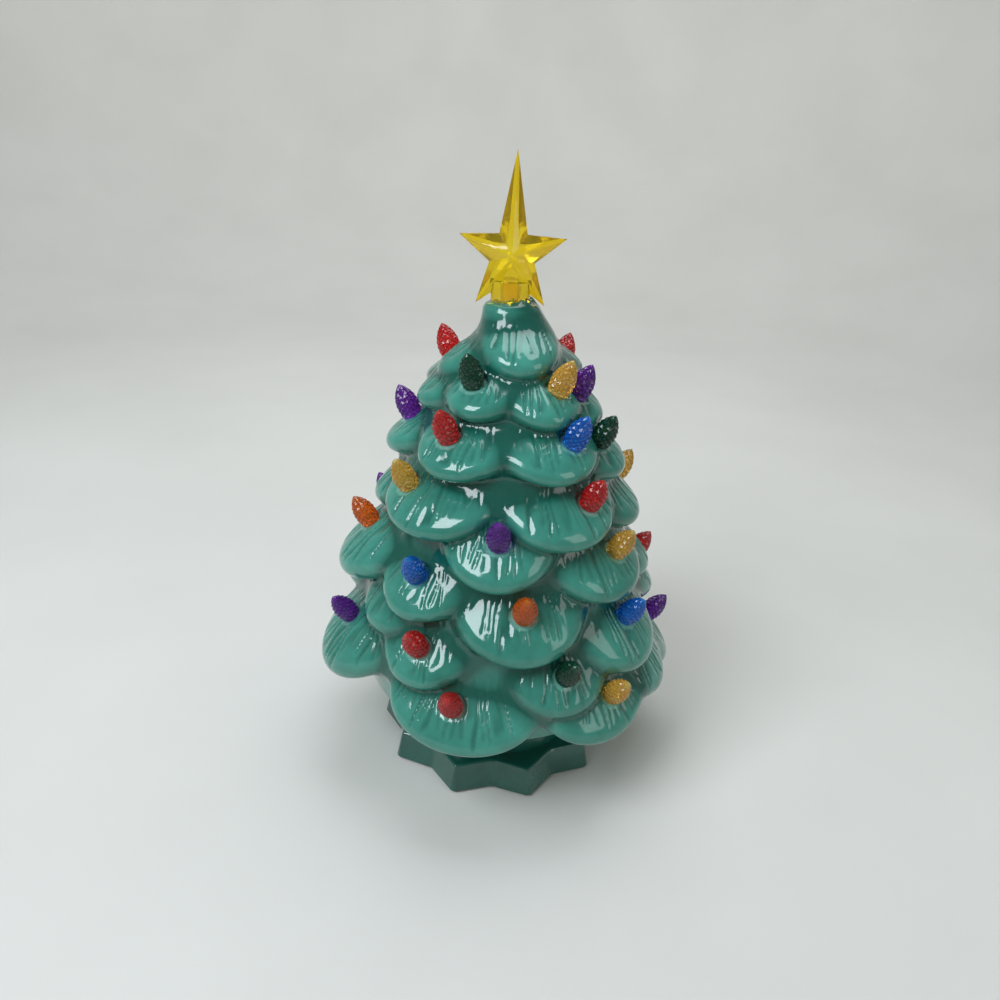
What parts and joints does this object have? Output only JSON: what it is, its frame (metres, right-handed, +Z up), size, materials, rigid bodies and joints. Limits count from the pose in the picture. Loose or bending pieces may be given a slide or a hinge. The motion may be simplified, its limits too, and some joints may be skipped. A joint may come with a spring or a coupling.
{
  "type": "ceramic christmas tree",
  "caption": "Hollow glazed ceramic tree with push-in plastic bulbs and a star, lifting off a star-edged base that holds a battery light.",
  "frame": {"origin": "on the table under the tree's axis, level with the underside of the felt pads", "axes": "+Z up along the tree's axis, -Y towards the front"},
  "size_m": [0.1582, 0.1549, 0.2565],
  "materials": {
    "green_glaze": "glossy teal-green glaze",
    "yellow_plastic": "translucent yellow",
    "felt": "felt",
    "black_plastic": "fine matte",
    "white_plastic": "satin",
    "steel": "zinc plated",
    "board": "solder mask",
    "lamp_plastic": "clear epoxy",
    "plated_steel": "nickel plated",
    "cell_wrap": "plain dark wrap",
    "red_wire": "insulation",
    "black_wire": "insulation",
    "red_bulb": "translucent, dimpled",
    "green_bulb": "translucent, dimpled",
    "gold_bulb": "translucent, dimpled",
    "blue_bulb": "translucent, dimpled",
    "purple_bulb": "translucent, dimpled",
    "orange_bulb": "translucent, dimpled"
  },
  "bodies": {
    "base": {"base_dish": "green_glaze", "foot_pads": "felt", "battery_case": "black_plastic", "lamp_deck": "white_plastic", "deck_screws": "steel", "led_board": "board", "led_lamps": "lamp_plastic", "switch_body": "black_plastic", "contact_plates": "plated_steel", "contact_springs": "plated_steel", "cell_1": "cell_wrap", "cell_2": "cell_wrap", "cell_3": "cell_wrap", "wire_red": "red_wire", "wire_switch": "red_wire", "wire_black": "black_wire"},
    "tree": {"lower_shell": "green_glaze", "upper_shell": "green_glaze", "tree_foot": "green_glaze"},
    "star": {"star_topper": "yellow_plastic"},
    "door": {"battery_door": "black_plastic"},
    "slider": {"switch_slider": "white_plastic"},
    "bulb_01": {"bulb_01": "red_bulb"},
    "bulb_02": {"bulb_02": "green_bulb"},
    "bulb_03": {"bulb_03": "gold_bulb"},
    "bulb_04": {"bulb_04": "red_bulb"},
    "bulb_05": {"bulb_05": "blue_bulb"},
    "bulb_06": {"bulb_06": "purple_bulb"},
    "bulb_07": {"bulb_07": "green_bulb"},
    "bulb_08": {"bulb_08": "gold_bulb"},
    "bulb_09": {"bulb_09": "red_bulb"},
    "bulb_10": {"bulb_10": "gold_bulb"},
    "bulb_11": {"bulb_11": "purple_bulb"},
    "bulb_12": {"bulb_12": "gold_bulb"},
    "bulb_13": {"bulb_13": "orange_bulb"},
    "bulb_14": {"bulb_14": "purple_bulb"},
    "bulb_15": {"bulb_15": "blue_bulb"},
    "bulb_16": {"bulb_16": "orange_bulb"},
    "bulb_17": {"bulb_17": "red_bulb"},
    "bulb_18": {"bulb_18": "blue_bulb"},
    "bulb_19": {"bulb_19": "red_bulb"},
    "bulb_20": {"bulb_20": "green_bulb"},
    "bulb_21": {"bulb_21": "purple_bulb"},
    "bulb_22": {"bulb_22": "purple_bulb"},
    "bulb_23": {"bulb_23": "red_bulb"},
    "bulb_24": {"bulb_24": "gold_bulb"},
    "bulb_25": {"bulb_25": "red_bulb"},
    "bulb_26": {"bulb_26": "blue_bulb"},
    "bulb_27": {"bulb_27": "purple_bulb"},
    "bulb_28": {"bulb_28": "gold_bulb"},
    "bulb_29": {"bulb_29": "orange_bulb"},
    "bulb_30": {"bulb_30": "green_bulb"},
    "bulb_31": {"bulb_31": "red_bulb"},
    "bulb_32": {"bulb_32": "blue_bulb"},
    "bulb_33": {"bulb_33": "gold_bulb"},
    "bulb_34": {"bulb_34": "purple_bulb"},
    "bulb_35": {"bulb_35": "red_bulb"},
    "bulb_36": {"bulb_36": "green_bulb"},
    "bulb_37": {"bulb_37": "blue_bulb"},
    "bulb_38": {"bulb_38": "orange_bulb"}
  },
  "joints": [
    {"name": "tree_lift", "type": "slide", "parent": "base", "child": "tree", "axis": [0, 0, 1], "range_m": [0, 0.06]},
    {"name": "star_pull", "type": "slide", "parent": "tree", "child": "star", "axis": [0, 0, 1], "range_m": [0, 0.02]},
    {"name": "battery_door_hinge", "type": "hinge", "parent": "base", "child": "door", "pos_m": [-0.0257, 0, 0.0085], "axis": [0, 1, 0], "range_deg": [0, 100]},
    {"name": "switch_slide", "type": "slide", "parent": "base", "child": "slider", "axis": [1, 0, 0], "range_m": [0, 0.0035]},
    {"name": "bulb_01_pull", "type": "slide", "parent": "tree", "child": "bulb_01", "axis": [-0.3395, 0.1583, 0.9272], "range_m": [0, 0.014]},
    {"name": "bulb_02_pull", "type": "slide", "parent": "tree", "child": "bulb_02", "axis": [-0.194, -0.3229, 0.9263], "range_m": [0, 0.014]},
    {"name": "bulb_03_pull", "type": "slide", "parent": "tree", "child": "bulb_03", "axis": [0.3793, 0.0132, 0.9252], "range_m": [0, 0.014]},
    {"name": "bulb_04_pull", "type": "slide", "parent": "tree", "child": "bulb_04", "axis": [-0.2458, -0.3383, 0.9084], "range_m": [0, 0.014]},
    {"name": "bulb_05_pull", "type": "slide", "parent": "tree", "child": "bulb_05", "axis": [0.3614, -0.2087, 0.9088], "range_m": [0, 0.014]},
    {"name": "bulb_06_pull", "type": "slide", "parent": "tree", "child": "bulb_06", "axis": [-0.422, -0.0147, 0.9065], "range_m": [0, 0.014]},
    {"name": "bulb_07_pull", "type": "slide", "parent": "tree", "child": "bulb_07", "axis": [0.3798, -0.1935, 0.9046], "range_m": [0, 0.014]},
    {"name": "bulb_08_pull", "type": "slide", "parent": "tree", "child": "bulb_08", "axis": [-0.3753, -0.2727, 0.8859], "range_m": [0, 0.014]},
    {"name": "bulb_09_pull", "type": "slide", "parent": "tree", "child": "bulb_09", "axis": [0.2982, -0.3554, 0.8859], "range_m": [0, 0.014]},
    {"name": "bulb_10_pull", "type": "slide", "parent": "tree", "child": "bulb_10", "axis": [0.4626, 0.1327, 0.8766], "range_m": [0, 0.014]},
    {"name": "bulb_11_pull", "type": "slide", "parent": "tree", "child": "bulb_11", "axis": [-0.0256, -0.4877, 0.8727], "range_m": [0, 0.014]},
    {"name": "bulb_12_pull", "type": "slide", "parent": "tree", "child": "bulb_12", "axis": [0.4126, -0.2998, 0.8601], "range_m": [0, 0.014]},
    {"name": "bulb_13_pull", "type": "slide", "parent": "tree", "child": "bulb_13", "axis": [-0.5095, -0.0898, 0.8558], "range_m": [0, 0.014]},
    {"name": "bulb_14_pull", "type": "slide", "parent": "tree", "child": "bulb_14", "axis": [-0.4908, 0.1786, 0.8528], "range_m": [0, 0.014]},
    {"name": "bulb_15_pull", "type": "slide", "parent": "tree", "child": "bulb_15", "axis": [-0.2141, -0.481, 0.8502], "range_m": [0, 0.014]},
    {"name": "bulb_16_pull", "type": "slide", "parent": "tree", "child": "bulb_16", "axis": [0.0753, -0.536, 0.8409], "range_m": [0, 0.014]},
    {"name": "bulb_17_pull", "type": "slide", "parent": "tree", "child": "bulb_17", "axis": [0.5485, 0.0384, 0.8352], "range_m": [0, 0.014]},
    {"name": "bulb_18_pull", "type": "slide", "parent": "tree", "child": "bulb_18", "axis": [0.4566, -0.3317, 0.8255], "range_m": [0, 0.014]},
    {"name": "bulb_19_pull", "type": "slide", "parent": "tree", "child": "bulb_19", "axis": [-0.2802, -0.5055, 0.8161], "range_m": [0, 0.014]},
    {"name": "bulb_20_pull", "type": "slide", "parent": "tree", "child": "bulb_20", "axis": [0.2305, -0.5431, 0.8074], "range_m": [0, 0.014]},
    {"name": "bulb_21_pull", "type": "slide", "parent": "tree", "child": "bulb_21", "axis": [-0.4859, -0.3402, 0.8051], "range_m": [0, 0.014]},
    {"name": "bulb_22_pull", "type": "slide", "parent": "tree", "child": "bulb_22", "axis": [0.6121, 0.0752, 0.7872], "range_m": [0, 0.014]},
    {"name": "bulb_23_pull", "type": "slide", "parent": "tree", "child": "bulb_23", "axis": [-0.1483, -0.5946, 0.7902], "range_m": [0, 0.014]},
    {"name": "bulb_24_pull", "type": "slide", "parent": "tree", "child": "bulb_24", "axis": [0.4039, -0.4646, 0.788], "range_m": [0, 0.014]},
    {"name": "bulb_25_pull", "type": "slide", "parent": "tree", "child": "bulb_25", "axis": [0.2648, 0.2742, 0.9245], "range_m": [0, 0.014]},
    {"name": "bulb_26_pull", "type": "slide", "parent": "tree", "child": "bulb_26", "axis": [-0.1514, 0.3566, 0.9219], "range_m": [0, 0.014]},
    {"name": "bulb_27_pull", "type": "slide", "parent": "tree", "child": "bulb_27", "axis": [0.3855, 0.0337, 0.9221], "range_m": [0, 0.014]},
    {"name": "bulb_28_pull", "type": "slide", "parent": "tree", "child": "bulb_28", "axis": [-0.247, 0.3528, 0.9025], "range_m": [0, 0.014]},
    {"name": "bulb_29_pull", "type": "slide", "parent": "tree", "child": "bulb_29", "axis": [0.2929, 0.3749, 0.8796], "range_m": [0, 0.014]},
    {"name": "bulb_30_pull", "type": "slide", "parent": "tree", "child": "bulb_30", "axis": [-0.0324, 0.4636, 0.8855], "range_m": [0, 0.014]},
    {"name": "bulb_31_pull", "type": "slide", "parent": "tree", "child": "bulb_31", "axis": [-0.3312, 0.3551, 0.8742], "range_m": [0, 0.014]},
    {"name": "bulb_32_pull", "type": "slide", "parent": "tree", "child": "bulb_32", "axis": [0.2976, 0.4412, 0.8466], "range_m": [0, 0.014]},
    {"name": "bulb_33_pull", "type": "slide", "parent": "tree", "child": "bulb_33", "axis": [-0.0921, 0.5222, 0.8478], "range_m": [0, 0.014]},
    {"name": "bulb_34_pull", "type": "slide", "parent": "tree", "child": "bulb_34", "axis": [-0.436, 0.3659, 0.8222], "range_m": [0, 0.014]},
    {"name": "bulb_35_pull", "type": "slide", "parent": "tree", "child": "bulb_35", "axis": [0.3349, 0.4782, 0.8119], "range_m": [0, 0.014]},
    {"name": "bulb_36_pull", "type": "slide", "parent": "tree", "child": "bulb_36", "axis": [-0.1619, 0.5647, 0.8093], "range_m": [0, 0.014]},
    {"name": "bulb_37_pull", "type": "slide", "parent": "tree", "child": "bulb_37", "axis": [0.1483, 0.5946, 0.7902], "range_m": [0, 0.014]},
    {"name": "bulb_38_pull", "type": "slide", "parent": "tree", "child": "bulb_38", "axis": [-0.3803, 0.4868, 0.7864], "range_m": [0, 0.014]}
  ]
}
